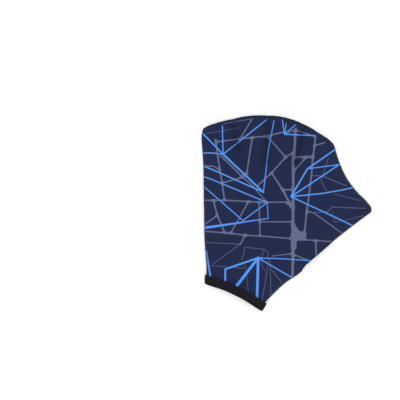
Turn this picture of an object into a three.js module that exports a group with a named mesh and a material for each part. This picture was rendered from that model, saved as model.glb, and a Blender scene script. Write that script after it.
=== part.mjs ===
// Webbed swim glove lying on its palm: a printed back panel and a plain palm panel of neoprene,
// sewn together along the hand's sides, with open finger ends, a thumb mouth and a bound wrist.
// Millimetres, +Z up, +Y towards the fingertips, +X towards the thumb.
import * as THREE from "three";

// Outer sizes of the glove lying flat, binding included
const gloveWidth = 174;
const gloveLength = 200.5;

// Neoprene sheet, and how it thins and rounds at its edges
const neopreneThickness = 2.4;
const seamEdgeThickness = 1.0;
const seamRoundWidth = 3.5;
const mouthRoundDrop = 0.7;
const seamClearance = 0.3;

// Free height between the panels
const cuffLoft = 9.5;
const palmLoft = 10;
const knuckleLoft = 8.5;
const fingerLoft = 6.5;

// How far from a seam or a stitched line the panels reach their full free height
const seamReach = 26;
const stitchReach = 15;
const pillowPower = 2.6;

// The palm lies flat and rises a little to the seams
const seamLift = 1.6;
const seamLiftWidth = 12;
const seamFadeWidth = 8;

// Lines sewn through both panels between the fingers, measured from the fingertips
const fingerStitchLength = 47;
const stitchedLines = [
  { rib: 1, share: 0.68 },
  { rib: 2, share: 1 },
  { rib: 3, share: 0.9 },
];

// Mouth on the thumb's lower edge
const thumbMouthLength = 47;
const thumbMouthStart = 0.25;

// Tape folded over the edge of the wrist
const bindingWidth = 8.6;
const bindingInnerWidth = 6;
const bindingThickness = 0.9;
const bindingClearance = 0.3;
const cuffPinch = 0.7;
const bindingInset = 0.13;

// Plan curves. Places are shares of the glove's width and length from its lower left corner,
// and "at" is the place along the curve.
const cuffEdge = [
  { at: 0, across: 0.0265, along: 0.14 },
  { at: 0.25, across: 0.111, along: 0.12 },
  { at: 0.5, across: 0.195, along: 0.089 },
  { at: 0.75, across: 0.2755, along: 0.0505 },
  { at: 1, across: 0.3495, along: 0.0055 },
];
const fingerEdge = [
  { at: 0, across: 0.0095, along: 0.932 },
  { at: 0.035, across: 0.04, along: 0.9455 },
  { at: 0.11, across: 0.096, along: 0.9615 },
  { at: 0.25, across: 0.186, along: 0.981 },
  { at: 0.36, across: 0.267, along: 0.994 },
  { at: 0.5, across: 0.388, along: 0.998 },
  { at: 0.63, across: 0.49, along: 0.9865 },
  { at: 0.75, across: 0.596, along: 0.9555 },
  { at: 0.87, across: 0.684, along: 0.9095 },
  { at: 0.96, across: 0.743, along: 0.878 },
  { at: 1, across: 0.774, along: 0.8555 },
];
const pinkySide = [
  { at: 0.12, across: 0.029, along: 0.23 },
  { at: 0.28, across: 0.018, along: 0.363 },
  { at: 0.5, across: 0.014, along: 0.542 },
  { at: 0.74, across: 0.011, along: 0.7315 },
  { at: 0.87, across: 0.004, along: 0.834 },
  { at: 0.95, across: 0.0005, along: 0.895 },
];
const ribAfterPinky = [
  { at: 0.25, across: 0.137, along: 0.322 },
  { at: 0.55, across: 0.176, along: 0.568 },
  { at: 0.72, across: 0.204, along: 0.742 },
  { at: 0.82, across: 0.208, along: 0.824 },
];
const ribMiddle = [
  { at: 0.25, across: 0.243, along: 0.312 },
  { at: 0.52, across: 0.32, along: 0.542 },
  { at: 0.7, across: 0.367, along: 0.696 },
  { at: 0.86, across: 0.384, along: 0.87 },
];
const ribBeforeIndex = [
  { at: 0.25, across: 0.355, along: 0.251 },
  { at: 0.5, across: 0.449, along: 0.455 },
  { at: 0.7, across: 0.52, along: 0.639 },
  { at: 0.84, across: 0.558, along: 0.765 },
];
const thumbSide = [
  { at: 0.05, across: 0.37, along: 0.04 },
  { at: 0.1, across: 0.4325, along: 0.097 },
  { at: 0.16, across: 0.493, along: 0.145 },
  { at: 0.22, across: 0.553, along: 0.179 },
  { at: 0.25, across: 0.5865, along: 0.2015 },
  { at: 0.275, across: 0.5975, along: 0.22 },
  { at: 0.3, across: 0.6185, along: 0.2425 },
  { at: 0.36, across: 0.708, along: 0.31 },
  { at: 0.43, across: 0.84, along: 0.403 },
  { at: 0.485, across: 0.9665, along: 0.486 },
  { at: 0.503, across: 0.995, along: 0.5045 },
  { at: 0.515, across: 1, along: 0.5185 },
  { at: 0.528, across: 0.9945, along: 0.534 },
  { at: 0.545, across: 0.9625, along: 0.5675 },
  { at: 0.59, across: 0.9145, along: 0.6085 },
  { at: 0.66, across: 0.8605, along: 0.67 },
  { at: 0.75, across: 0.824, along: 0.7315 },
  { at: 0.86, across: 0.7965, along: 0.7955 },
  { at: 0.945, across: 0.7845, along: 0.835 },
];

// Mesh lines: rows from wrist to fingertips, and columns in each of the four strips between ribs
const rowSpans = [
  { to: 0.06, rows: 2 },
  { to: 0.24, rows: 4 },
  { to: 0.485, rows: 6 },
  { to: 0.545, rows: 4 },
  { to: 0.92, rows: 7 },
  { to: 1, rows: 3 },
];
const fingerColumns = [0, 0.09, 0.26, 0.5, 0.74, 0.91, 1];
const thumbColumns = [0, 0.06, 0.17, 0.3, 0.44, 0.58, 0.71, 0.82, 0.91, 0.97, 1];
const stripCount = 4;
const seamSamples = 48;
const thumbTipPlace = 0.515;
const bindingRow = 0.06;

// Turns a table of shares into a function from a place along the curve to a point in plan
function curveThrough(rows) {
  const points = rows.map((row) => new THREE.Vector2(row.across * gloveWidth, row.along * gloveLength));
  const curve = new THREE.SplineCurve(points);
  return (at) => {
    let i = 0;
    while (i < rows.length - 2 && at > rows[i + 1].at) i += 1;
    const share = (at - rows[i].at) / (rows[i + 1].at - rows[i].at);
    return curve.getPoint((i + share) / (rows.length - 1));
  };
}

const cuffCurve = curveThrough(cuffEdge);
const fingerCurve = curveThrough(fingerEdge);

// A rib runs from the cuff to the fingertips and shares its ends with those two edges
function ribThrough(place, rows) {
  const asRow = (at, point) => ({ at, across: point.x / gloveWidth, along: point.y / gloveLength });
  return curveThrough([asRow(0, cuffCurve(place)), ...rows, asRow(1, fingerCurve(place))]);
}

const ribs = [pinkySide, ribAfterPinky, ribMiddle, ribBeforeIndex, thumbSide].map((rows, i) =>
  ribThrough(i / stripCount, rows),
);

// Point in plan: u runs from the pinky side to the thumb side, v from the wrist to the fingertips
function planPoint(u, v) {
  const strip = Math.min(Math.floor(u * stripCount), stripCount - 1);
  const left = strip / stripCount;
  const right = (strip + 1) / stripCount;
  const share = (u - left) / (right - left);
  const bowed = (curve) => curve(u).sub(curve(left).lerp(curve(right), share));
  const point = ribs[strip](v).lerp(ribs[strip + 1](v), share);
  return point.addScaledVector(bowed(cuffCurve), 1 - v).addScaledVector(bowed(fingerCurve), v);
}

// Points along a curve between two places
function sampled(curve, from, to) {
  return Array.from({ length: seamSamples + 1 }, (_, i) => curve(from + ((to - from) * i) / seamSamples));
}

// The place that lies a given length along a curve from a start
function placeAfter(curve, from, to, length) {
  const points = sampled(curve, from, to);
  let walked = 0;
  for (let i = 1; i < points.length; i += 1) {
    const step = points[i].distanceTo(points[i - 1]);
    if (walked + step >= length) {
      return from + ((to - from) * (i - 1 + (length - walked) / step)) / seamSamples;
    }
    walked += step;
  }
  return to;
}

const thumbMouthEnd = placeAfter(ribs[4], thumbMouthStart, thumbTipPlace, thumbMouthLength);
const seams = {
  pinky: sampled(ribs[0], 0, 1),
  web: sampled(ribs[4], thumbMouthEnd, 1),
  base: sampled(ribs[4], 0, thumbMouthStart),
};
const mouths = [sampled(fingerCurve, 0, 1), sampled(ribs[4], thumbMouthStart, thumbMouthEnd)];
const wristLine = sampled(cuffCurve, 0, 1);
const stitches = stitchedLines.map(({ rib, share }) => {
  const end = placeAfter(ribs[rib], 1, 0, fingerStitchLength * share);
  return sampled(ribs[rib], end, 1);
});

// Shortest distance from a point to a chain of short lines
function distanceTo(chain, point) {
  let best = Infinity;
  for (let i = 1; i < chain.length; i += 1) {
    const along = chain[i].clone().sub(chain[i - 1]);
    const from = point.clone().sub(chain[i - 1]);
    const share = THREE.MathUtils.clamp(from.dot(along) / along.lengthSq(), 0, 1);
    best = Math.min(best, from.addScaledVector(along, -share).length());
  }
  return best;
}

const smooth = (x) => THREE.MathUtils.smoothstep(x, 0, 1);
const pillow = (distance, reach) => 1 - (1 - Math.min(distance / reach, 1)) ** pillowPower;
const roundedDrop = (x) => 1 - Math.sqrt(1 - (1 - Math.min(x, 1)) ** 2);

// Free height between the panels away from seams, from the wrist to the fingertips
const loftRows = [
  { at: 0, loft: cuffLoft },
  { at: 0.32, loft: palmLoft },
  { at: 0.66, loft: knuckleLoft },
  { at: 1, loft: fingerLoft },
];
function loftAt(v) {
  const i = Math.min(loftRows.findIndex((row, k) => k > 0 && v <= row.at), loftRows.length - 1);
  const from = loftRows[i - 1];
  const to = loftRows[i];
  return from.loft + (to.loft - from.loft) * smooth((v - from.at) / (to.at - from.at));
}

// Heights of the four faces of the two panels at one place of the plan
function layersAt(u, v) {
  const point = planPoint(u, v);
  const toSeams = Object.values(seams).map((chain) => distanceTo(chain, point));
  const nearSeam = Math.min(...toSeams);
  const nearEdge = Math.min(nearSeam, ...mouths.map((chain) => distanceTo(chain, point)));
  const toWrist = distanceTo(wristLine, point);
  const bound = 1 - smooth((toWrist - bindingWidth) / bindingWidth);
  const sewn = 1 - smooth(nearSeam / seamFadeWidth);
  const thickness = neopreneThickness * (1 - (1 - cuffPinch) * bound);
  const drop = THREE.MathUtils.lerp(mouthRoundDrop, thickness - seamEdgeThickness, sewn);
  const rounding = drop * roundedDrop(nearEdge / seamRoundWidth);
  const seamRise = seamLift * (1 - smooth(nearSeam / seamLiftWidth));
  const lift = seamRise + (bindingThickness + bindingClearance) * bound;
  let gap = loftAt(v);
  for (const distance of toSeams) gap *= pillow(distance, seamReach);
  for (const chain of stitches) gap *= pillow(distanceTo(chain, point), stitchReach);
  const palmInner = lift + thickness;
  const backInner = palmInner + seamClearance + gap;
  return {
    point,
    palmOuter: lift + rounding,
    palmInner,
    backInner,
    backOuter: backInner + thickness - rounding,
  };
}

// Mesh lines of the grid that both panels and the binding share
function rowPlaces() {
  const places = [0];
  for (const { to, rows } of rowSpans) {
    const from = places[places.length - 1];
    for (let i = 1; i <= rows; i += 1) places.push(from + ((to - from) * i) / rows);
  }
  return places;
}
function columnPlaces() {
  const strips = [fingerColumns, fingerColumns, fingerColumns, thumbColumns];
  const places = strips.flatMap((shares, i) => shares.slice(1).map((share) => (i + share) / stripCount));
  return [0, ...places];
}
const rows = rowPlaces();
const columns = columnPlaces();
const grid = rows.map((v) => columns.map((u) => layersAt(u, v)));

function geometryFrom(vertices, triangles) {
  const geometry = new THREE.BufferGeometry();
  geometry.setAttribute("position", new THREE.Float32BufferAttribute(vertices.flat(), 3));
  geometry.setIndex(triangles);
  geometry.computeVertexNormals();
  return geometry;
}

// A sheet of neoprene between two faces of the grid, closed along its rim
function panelGeometry(upperFace, lowerFace) {
  const width = columns.length;
  const faces = [upperFace, lowerFace];
  const vertices = faces.flatMap((face) => grid.flat().map((layers) => [...layers.point, layers[face]]));
  const lowerStart = width * rows.length;
  const triangles = [];
  const addQuad = (a, b, c, d) => triangles.push(a, b, c, a, c, d);
  for (let j = 0; j < rows.length - 1; j += 1) {
    for (let i = 0; i < width - 1; i += 1) {
      const a = j * width + i;
      addQuad(a, a + 1, a + width + 1, a + width);
      addQuad(lowerStart + a, lowerStart + a + width, lowerStart + a + width + 1, lowerStart + a + 1);
    }
  }
  const rim = [];
  for (let i = 0; i < width - 1; i += 1) rim.push(i);
  for (let j = 0; j < rows.length - 1; j += 1) rim.push(j * width + width - 1);
  for (let i = width - 1; i > 0; i -= 1) rim.push((rows.length - 1) * width + i);
  for (let j = rows.length - 1; j > 0; j -= 1) rim.push(j * width);
  rim.forEach((a, k) => {
    const b = rim[(k + 1) % rim.length];
    addQuad(a, lowerStart + a, lowerStart + b, b);
  });
  return geometryFrom(vertices, triangles);
}

// Direction of the wrist's edge in plan, along which the binding's ends stand off the panels
const wristDirection = cuffCurve(1).sub(cuffCurve(0)).normalize();

// One place around the wrist: "inset" brings it in from the ends, "inwards" up the glove
function wristPlace(u, inset, inwards) {
  const across = inset + (1 - 2 * inset) * u;
  const edge = planPoint(across, 0);
  const direction = planPoint(across, bindingRow).sub(edge);
  const v = (bindingRow * Math.max(inwards, 0)) / direction.length();
  return { layers: layersAt(across, v), plan: edge.addScaledVector(direction.normalize(), inwards) };
}

// A closed loop around the wrist that stands off the faces of the panels
function wristLoop(inset, inwards, upperFace, lowerFace, standOff) {
  const places = columns.map((u) => wristPlace(u, inset, inwards));
  const onFace = (face) => (place) => ({ plan: place.plan, z: place.layers[face] });
  const upper = places.map(onFace(upperFace));
  const lower = places.map(onFace(lowerFace)).reverse();
  const between = (a, b) => ({ plan: a.plan.clone().lerp(b.plan, 0.5), z: (a.z + b.z) / 2 });
  const loop = [...upper, between(upper.at(-1), lower[0]), ...lower, between(lower.at(-1), upper[0])];
  const flat = loop.map(({ plan, z }) => new THREE.Vector2(plan.dot(wristDirection), z));
  return loop.map(({ plan, z }, i) => {
    const before = flat[i].clone().sub(flat.at(i - 1)).normalize();
    const after = flat[(i + 1) % flat.length].clone().sub(flat[i]).normalize();
    const tangent = before.clone().add(after).normalize();
    const reach = standOff / Math.max(tangent.dot(after), 0.5);
    const moved = plan.clone().addScaledVector(wristDirection, -tangent.y * reach);
    return [moved.x, moved.y, z + tangent.x * reach];
  });
}

// Tape folded over the raw edges of both panels, all round the wrist
function bindingGeometry() {
  const near = bindingClearance;
  const far = bindingClearance + bindingThickness;
  const fold = far / 2;
  const outside = (inwards, standOff) => wristLoop(0, inwards, "backOuter", "palmOuter", standOff);
  const inside = (inwards, standOff) =>
    wristLoop(bindingInset, inwards, "backInner", "palmInner", -standOff);
  const section = [
    outside(bindingWidth, far),
    outside(bindingWidth / 2, far),
    outside(0, far),
    outside(-fold, fold),
    outside(-far, 0),
    inside(-far, 0),
    inside(-fold, fold),
    inside(0, far),
    inside(bindingInnerWidth, far),
    inside(bindingInnerWidth, near),
    inside(-near, near),
    outside(-near, near),
    outside(bindingWidth / 2, near),
    outside(bindingWidth, near),
  ];
  const count = section[0].length;
  const triangles = [];
  for (let k = 0; k < section.length; k += 1) {
    const next = (k + 1) % section.length;
    for (let i = 0; i < count; i += 1) {
      const j = (i + 1) % count;
      const [a, b, c, d] = [k * count + i, k * count + j, next * count + j, next * count + i];
      triangles.push(a, d, c, a, c, b);
    }
  }
  return geometryFrom(section.flat(), triangles);
}

function addPiece(group, name, geometry, finish) {
  const mesh = new THREE.Mesh(geometry, new THREE.MeshStandardMaterial({ metalness: 0, ...finish }));
  mesh.name = name;
  group.add(mesh);
}

const glove = new THREE.Group();
addPiece(glove, "back_panel", panelGeometry("backOuter", "backInner"), { color: 0x242b48, roughness: 0.85 });
addPiece(glove, "palm_panel", panelGeometry("palmInner", "palmOuter"), { color: 0x1c1e28, roughness: 0.9 });
addPiece(glove, "wrist_binding", bindingGeometry(), { color: 0x1f1e23, roughness: 0.8 });

// The frame's origin is under the middle of the glove
const extent = new THREE.Box3().setFromObject(glove);
const middle = extent.getCenter(new THREE.Vector3());
glove.position.set(-middle.x, -middle.y, -extent.min.z);

export default glove;
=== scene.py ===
"""Dresses the webbed swim glove: printed and plain neoprene panels, wrist tape, thread, studio.

The forms follow the same named sizes as the solids. Sizes in the classes are millimetres, and
meshes are made in metres, in the frame of the solids.
"""

import logging
import math
from dataclasses import dataclass, field
from enum import Enum
from typing import Callable, NamedTuple, Sequence, Union

import bpy
import numpy as np
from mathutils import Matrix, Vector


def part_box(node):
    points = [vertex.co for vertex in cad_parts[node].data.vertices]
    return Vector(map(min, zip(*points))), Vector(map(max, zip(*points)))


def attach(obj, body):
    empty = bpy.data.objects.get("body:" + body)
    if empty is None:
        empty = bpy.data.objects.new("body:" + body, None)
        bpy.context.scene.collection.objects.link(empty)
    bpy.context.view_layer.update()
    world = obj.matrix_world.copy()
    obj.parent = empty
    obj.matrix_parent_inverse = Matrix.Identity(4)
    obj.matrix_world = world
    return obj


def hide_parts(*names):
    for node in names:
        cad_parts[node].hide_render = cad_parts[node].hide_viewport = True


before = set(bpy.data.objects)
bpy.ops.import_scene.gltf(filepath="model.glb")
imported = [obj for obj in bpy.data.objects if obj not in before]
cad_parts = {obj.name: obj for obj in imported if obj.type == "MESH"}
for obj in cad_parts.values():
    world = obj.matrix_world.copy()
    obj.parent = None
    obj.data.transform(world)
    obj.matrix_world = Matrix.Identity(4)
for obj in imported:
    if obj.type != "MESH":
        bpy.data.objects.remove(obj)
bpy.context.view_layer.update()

log = logging.getLogger("swim_glove")

MM = 0.001
BODY = "root"

Socket = bpy.types.NodeSocket
Value = Union[Socket, float, Sequence[float]]


class Slot(Enum):
    """Material slots of the record."""

    PRINTED = "printed_neoprene"
    PLAIN = "plain_neoprene"
    TAPE = "binding_tape"
    THREAD = "sewing_thread"


class Face(Enum):
    """The four faces of the two panels, from the palm's underside up."""

    PALM_OUTER = "palm_outer"
    PALM_INNER = "palm_inner"
    BACK_INNER = "back_inner"
    BACK_OUTER = "back_outer"


class Place(NamedTuple):
    """A named point of a plan curve, as shares of the glove's width and length."""

    at: float
    across: float
    along: float


class Cut(NamedTuple):
    """The flat size of a cut sheet, in metres and square metres."""

    flat: tuple[float, float]
    area: float


CUFF_EDGE = (
    Place(0, 0.0265, 0.14),
    Place(0.25, 0.111, 0.12),
    Place(0.5, 0.195, 0.089),
    Place(0.75, 0.2755, 0.0505),
    Place(1, 0.3495, 0.0055),
)
FINGER_EDGE = (
    Place(0, 0.0095, 0.932),
    Place(0.035, 0.04, 0.9455),
    Place(0.11, 0.096, 0.9615),
    Place(0.25, 0.186, 0.981),
    Place(0.36, 0.267, 0.994),
    Place(0.5, 0.388, 0.998),
    Place(0.63, 0.49, 0.9865),
    Place(0.75, 0.596, 0.9555),
    Place(0.87, 0.684, 0.9095),
    Place(0.96, 0.743, 0.878),
    Place(1, 0.774, 0.8555),
)
PINKY_SIDE = (
    Place(0.12, 0.029, 0.23),
    Place(0.28, 0.018, 0.363),
    Place(0.5, 0.014, 0.542),
    Place(0.74, 0.011, 0.7315),
    Place(0.87, 0.004, 0.834),
    Place(0.95, 0.0005, 0.895),
)
RIB_AFTER_PINKY = (
    Place(0.25, 0.137, 0.322),
    Place(0.55, 0.176, 0.568),
    Place(0.72, 0.204, 0.742),
    Place(0.82, 0.208, 0.824),
)
RIB_MIDDLE = (
    Place(0.25, 0.243, 0.312),
    Place(0.52, 0.32, 0.542),
    Place(0.7, 0.367, 0.696),
    Place(0.86, 0.384, 0.87),
)
RIB_BEFORE_INDEX = (
    Place(0.25, 0.355, 0.251),
    Place(0.5, 0.449, 0.455),
    Place(0.7, 0.52, 0.639),
    Place(0.84, 0.558, 0.765),
)
THUMB_SIDE = (
    Place(0.05, 0.37, 0.04),
    Place(0.1, 0.4325, 0.097),
    Place(0.16, 0.493, 0.145),
    Place(0.22, 0.553, 0.179),
    Place(0.25, 0.5865, 0.2015),
    Place(0.275, 0.5975, 0.22),
    Place(0.3, 0.6185, 0.2425),
    Place(0.36, 0.708, 0.31),
    Place(0.43, 0.84, 0.403),
    Place(0.485, 0.9665, 0.486),
    Place(0.503, 0.995, 0.5045),
    Place(0.515, 1, 0.5185),
    Place(0.528, 0.9945, 0.534),
    Place(0.545, 0.9625, 0.5675),
    Place(0.59, 0.9145, 0.6085),
    Place(0.66, 0.8605, 0.67),
    Place(0.75, 0.824, 0.7315),
    Place(0.86, 0.7965, 0.7955),
    Place(0.945, 0.7845, 0.835),
)


def smooth(x: np.ndarray) -> np.ndarray:
    """Smooth step of x between 0 and 1."""
    x = np.clip(x, 0.0, 1.0)
    return x * x * (3 - 2 * x)


def rounded_drop(x: np.ndarray) -> np.ndarray:
    """Height lost at a rounded edge, from 1 at the edge to 0 one radius in."""
    return 1 - np.sqrt(np.clip(1 - (1 - np.minimum(x, 1.0)) ** 2, 0.0, 1.0))


def distance_to(chain: np.ndarray, points: np.ndarray) -> np.ndarray:
    """Shortest distance from each point to a chain of short lines.

    Args:
        chain: Corners of the chain, one row each.
        points: Points in plan, one row each.

    Returns:
        One distance for each point.
    """
    best = np.full(len(points), np.inf)
    for start, end in zip(chain[:-1], chain[1:]):
        along = end - start
        offset = points - start
        share = np.clip(offset @ along / max(along @ along, 1e-12), 0, 1)
        best = np.minimum(best, np.linalg.norm(offset - share[:, None] * along, axis=1))
    return best


class PlanCurve:
    """A smooth plan curve through named places."""

    def __init__(self, at: Sequence[float], points: np.ndarray) -> None:
        """Keep the places along the curve and their points in millimetres."""
        self.at = np.array(at, float)
        self.points = np.array(points, float)

    def __call__(self, at: Union[float, np.ndarray]) -> np.ndarray:
        """Point on the curve.

        Args:
            at: Place or places along the curve.

        Returns:
            The points, one row for each place.
        """
        at = np.atleast_1d(np.asarray(at, float))
        last = len(self.at) - 1
        i = np.clip(np.searchsorted(self.at, at, side="left") - 1, 0, last - 1)
        t = ((at - self.at[i]) / (self.at[i + 1] - self.at[i]))[:, None]
        p0, p1 = self.points[np.maximum(i - 1, 0)], self.points[i]
        p2, p3 = self.points[i + 1], self.points[np.minimum(i + 2, last)]
        leave, arrive = (p2 - p0) / 2, (p3 - p1) / 2
        cubic = 2 * p1 - 2 * p2 + leave + arrive
        square = -3 * p1 + 3 * p2 - 2 * leave - arrive
        return cubic * t**3 + square * t**2 + leave * t + p1

    def sampled(self, start: float, end: float, count: int = 64) -> np.ndarray:
        """Points along the curve between two places."""
        return self(np.linspace(start, end, count + 1))

    def place_after(self, start: float, end: float, length: float) -> float:
        """The place that lies a given length along the curve from a start."""
        steps = 400
        chain = self.sampled(start, end, steps)
        walked = np.concatenate([[0], np.cumsum(np.linalg.norm(np.diff(chain, axis=0), axis=1))])
        return float(np.interp(length, walked, np.linspace(start, end, steps + 1)))


@dataclass
class Layers:
    """What the glove's form says at some places of its plan."""

    plan: np.ndarray
    heights: dict[Face, np.ndarray]
    near_edge: np.ndarray
    near_seam: np.ndarray
    near_stitch: np.ndarray
    to_wrist: np.ndarray


@dataclass
class GloveForm:
    """The flat-lying form that the panels, the tape and the thread share."""

    width: float = 174.0
    length: float = 200.5
    neoprene: float = 2.4
    seam_edge: float = 1.0
    seam_round: float = 3.5
    mouth_drop: float = 0.7
    seam_clearance: float = 0.3
    lofts: tuple[tuple[float, float], ...] = ((0, 9.5), (0.32, 10), (0.66, 8.5), (1, 6.5))
    seam_reach: float = 26.0
    stitch_reach: float = 15.0
    pillow_power: float = 2.6
    seam_lift: float = 1.6
    seam_lift_width: float = 12.0
    seam_fade: float = 8.0
    finger_stitch: float = 47.0
    stitched_ribs: tuple[tuple[int, float], ...] = ((1, 0.68), (2, 1.0), (3, 0.9))
    thumb_mouth: float = 47.0
    thumb_mouth_start: float = 0.25
    thumb_tip: float = 0.515
    tape_width: float = 8.6
    tape_inner_width: float = 6.0
    tape_thickness: float = 0.9
    tape_clearance: float = 0.3
    cuff_pinch: float = 0.7
    tape_inset: float = 0.13
    tape_row: float = 0.06
    relief: float = 0.2
    gather: float = 0.28
    gather_pitch: float = 7.5

    def __post_init__(self) -> None:
        """Make the curves, the seams and the shift into the solids' frame."""
        self.cuff = self._curve(CUFF_EDGE)
        self.fingers = self._curve(FINGER_EDGE)
        inner = (PINKY_SIDE, RIB_AFTER_PINKY, RIB_MIDDLE, RIB_BEFORE_INDEX, THUMB_SIDE)
        self.strips = len(inner) - 1
        self.ribs = [self._rib(i / self.strips, rows) for i, rows in enumerate(inner)]
        thumb_side = self.ribs[-1]
        self.thumb_mouth_end = thumb_side.place_after(
            self.thumb_mouth_start, self.thumb_tip, self.thumb_mouth
        )
        self.seams = [
            self.ribs[0].sampled(0, 1),
            thumb_side.sampled(self.thumb_mouth_end, 1),
            thumb_side.sampled(0, self.thumb_mouth_start),
        ]
        self.mouths = [
            self.fingers.sampled(0, 1),
            thumb_side.sampled(self.thumb_mouth_start, self.thumb_mouth_end),
        ]
        self.wrist = self.cuff.sampled(0, 1)
        self.stitch_starts = {
            rib: self.ribs[rib].place_after(1, 0, self.finger_stitch * share)
            for rib, share in self.stitched_ribs
        }
        self.stitches = [self.ribs[r].sampled(v, 1) for r, v in self.stitch_starts.items()]
        ends = self.cuff(np.array([0.0, 1.0]))
        self.wrist_direction = (ends[1] - ends[0]) / np.linalg.norm(ends[1] - ends[0])
        self.shift = self._shift()

    def _curve(self, rows: Sequence[Place]) -> PlanCurve:
        """Curve through rows that hold shares of the width and length."""
        points = [(row.across * self.width, row.along * self.length) for row in rows]
        return PlanCurve([row.at for row in rows], np.array(points))

    def _rib(self, place: float, rows: Sequence[Place]) -> PlanCurve:
        """Curve from the cuff to the fingertips that ends on those two edges."""
        inner = self._curve(rows)
        points = np.vstack([self.cuff(place), inner.points, self.fingers(place)])
        return PlanCurve([0.0, *inner.at, 1.0], points)

    def _shift(self) -> np.ndarray:
        """Move that puts the plan's outline on the solids' outline."""
        outline = np.vstack([*self.seams, *self.mouths, self.wrist])
        low, high = (np.array(corner[:2]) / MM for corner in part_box("back_panel"))
        return (low + high) / 2 - (outline.min(0) + outline.max(0)) / 2

    def plan(self, u: np.ndarray, v: np.ndarray) -> np.ndarray:
        """Points in plan, before the shift.

        Args:
            u: Places from the pinky side to the thumb side.
            v: Places from the wrist to the fingertips.

        Returns:
            The points in millimetres, one row each.
        """
        strip = np.minimum((u * self.strips).astype(int), self.strips - 1)
        left, right = strip / self.strips, (strip + 1) / self.strips
        share = ((u - left) / (right - left))[:, None]
        at_ribs = np.stack([rib(v) for rib in self.ribs])
        each = np.arange(len(u))
        point = at_ribs[strip, each] * (1 - share) + at_ribs[strip + 1, each] * share
        for edge, weight in ((self.cuff, 1 - v), (self.fingers, v)):
            chord = edge(left) * (1 - share) + edge(right) * share
            point = point + (edge(u) - chord) * weight[:, None]
        return point

    def loft(self, v: np.ndarray) -> np.ndarray:
        """Free height between the panels away from seams."""
        height = np.zeros(len(v))
        for (start, low), (end, high) in zip(self.lofts[:-1], self.lofts[1:]):
            here = (v >= start) & (v <= end)
            height[here] = low + (high - low) * smooth((v[here] - start) / (end - start))
        return height

    def pillow(self, distance: np.ndarray, reach: float) -> np.ndarray:
        """Share of the free height at a distance from a seam."""
        return 1 - (1 - np.minimum(distance / reach, 1.0)) ** self.pillow_power

    def folds(self, plan: np.ndarray, layers: dict[str, np.ndarray]) -> np.ndarray:
        """Soft waves, gathers behind the tape and puckers at the finger stitches."""
        x, y = plan[:, 0], plan[:, 1]
        waves = np.sin(x / 17 + 1.3) * np.cos(y / 23 - 0.4) + 0.5 * np.sin((x + 1.3 * y) / 9.7)
        run = plan @ self.wrist_direction
        gathers = np.sin(2 * math.pi * run / self.gather_pitch + 1.7 * np.sin(run / 11))
        behind_tape = np.exp(-(((layers["wrist"] - 1.7 * self.tape_width) / 9) ** 2))
        calm = smooth(layers["edge"] / 8) * smooth((layers["wrist"] - self.tape_width) / 6)
        pucker = 0.16 * np.exp(-layers["stitch"] / 2.5) * np.sin(2 * math.pi * y / 2.7)
        return calm * (self.relief * waves + self.gather * gathers * behind_tape) + pucker

    def layers(self, u: np.ndarray, v: np.ndarray) -> Layers:
        """Heights of the panels' faces and distances to the edges.

        Args:
            u: Places from the pinky side to the thumb side.
            v: Places from the wrist to the fingertips.

        Returns:
            The layers, with their plan points in the solids' frame.
        """
        u, v = np.broadcast_arrays(np.asarray(u, float).ravel(), np.asarray(v, float).ravel())
        plan = self.plan(u, v)
        to_seams = [distance_to(chain, plan) for chain in self.seams]
        to_stitches = [distance_to(chain, plan) for chain in self.stitches]
        near_seam = np.min(to_seams, axis=0)
        near_edge = np.min([near_seam, *(distance_to(c, plan) for c in self.mouths)], axis=0)
        near_stitch = np.min(to_stitches, axis=0)
        to_wrist = distance_to(self.wrist, plan)
        bound = 1 - smooth((to_wrist - self.tape_width) / self.tape_width)
        sewn = 1 - smooth(near_seam / self.seam_fade)
        thickness = self.neoprene * (1 - (1 - self.cuff_pinch) * bound)
        drop = self.mouth_drop + (thickness - self.seam_edge - self.mouth_drop) * sewn
        rounding = drop * rounded_drop(near_edge / self.seam_round)
        rise = self.seam_lift * (1 - smooth(near_seam / self.seam_lift_width))
        lift = rise + (self.tape_thickness + self.tape_clearance) * bound
        gap = self.loft(v)
        for distance in to_seams:
            gap = gap * self.pillow(distance, self.seam_reach)
        for distance in to_stitches:
            gap = gap * self.pillow(distance, self.stitch_reach)
        measures = {"edge": near_edge, "wrist": to_wrist, "stitch": near_stitch}
        folds = self.folds(plan, measures) * smooth(gap / 2)
        palm_inner = lift + thickness
        back_inner = palm_inner + self.seam_clearance + np.maximum(gap + folds, 0)
        groove = 0.35 * np.exp(-((near_stitch / 0.8) ** 2))
        heights = {
            Face.PALM_OUTER: lift + rounding + groove,
            Face.PALM_INNER: palm_inner,
            Face.BACK_INNER: back_inner,
            Face.BACK_OUTER: back_inner + thickness - rounding,
        }
        return Layers(plan + self.shift, heights, near_edge, near_seam, near_stitch, to_wrist)

    def surface(self, u: np.ndarray, v: np.ndarray, face: Face, above: float = 0.0) -> np.ndarray:
        """Points on one face, or a little above it, in millimetres."""
        layers = self.layers(u, v)
        return np.column_stack([layers.plan, layers.heights[face] + above])


def grid_faces(rows: int, columns: int, first: int, flip: bool) -> np.ndarray:
    """Quads of a grid of vertices.

    Args:
        rows: Number of rows of vertices.
        columns: Number of vertices in a row.
        first: Number of the first vertex.
        flip: Whether the quads face down.

    Returns:
        The quads, one row each.
    """
    corner = (np.arange(rows - 1)[:, None] * columns + np.arange(columns - 1)[None]).ravel() + first
    quads = np.column_stack([corner, corner + 1, corner + columns + 1, corner + columns])
    return quads[:, ::-1] if flip else quads


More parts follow.
